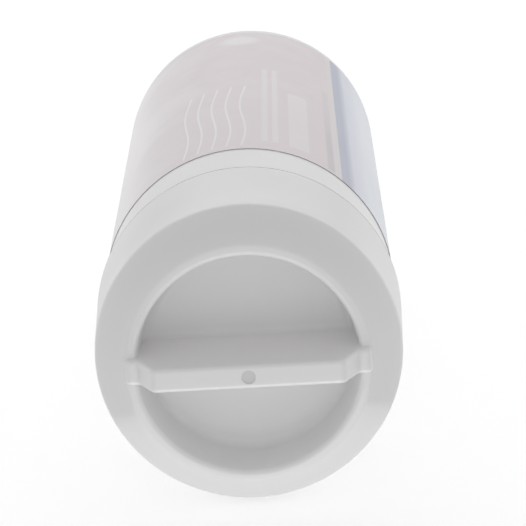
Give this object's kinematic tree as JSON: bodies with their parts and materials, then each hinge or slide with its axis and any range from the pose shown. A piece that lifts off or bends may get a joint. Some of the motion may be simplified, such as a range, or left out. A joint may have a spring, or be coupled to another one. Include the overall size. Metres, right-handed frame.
{
  "type": "fridge water filter cartridge",
  "caption": "White twist-in fridge water filter: plain tube with a printed label film, a recessed end cap with a raised grip bar, and a bayonet neck with sealed spigot and nozzle.",
  "frame": {"origin": "centre of the flat shoulder that stops against the filter head, on the cartridge axis", "axes": "+Y along the cartridge axis from the handle end to the neck, +X along the grip bar, +Z out of the middle of the label"},
  "size_m": [0.0722, 0.243, 0.0722],
  "materials": {
    "housing_plastic": "white moulded polypropylene, satin",
    "cap_plastic": "white moulded polypropylene, fine satin grain",
    "label_film": "printed film in pale pink grey with a blue violet band, low gloss",
    "seal_rubber": "black rubber with a thin film of grease",
    "inner_plastic": "natural moulded polypropylene",
    "hot_melt_glue": "set hot melt adhesive",
    "pressed_carbon": "pressed activated carbon, dull black and fine grained",
    "white_felt": "thin bonded polypropylene felt"
  },
  "bodies": {
    "root": {"housing": "housing_plastic", "end_cap": "cap_plastic", "label_film": "label_film", "spigot_oring": "seal_rubber", "nozzle_oring": "seal_rubber", "stem_oring_1": "seal_rubber", "stem_oring_2": "seal_rubber", "block_top_cap": "inner_plastic", "block_bottom_cap": "inner_plastic", "top_glue_ring": "hot_melt_glue", "bottom_glue_disc": "hot_melt_glue", "carbon_block": "pressed_carbon", "prefilter_wrap": "white_felt", "core_felt": "white_felt", "core_tube": "inner_plastic"}
  },
  "joints": []
}
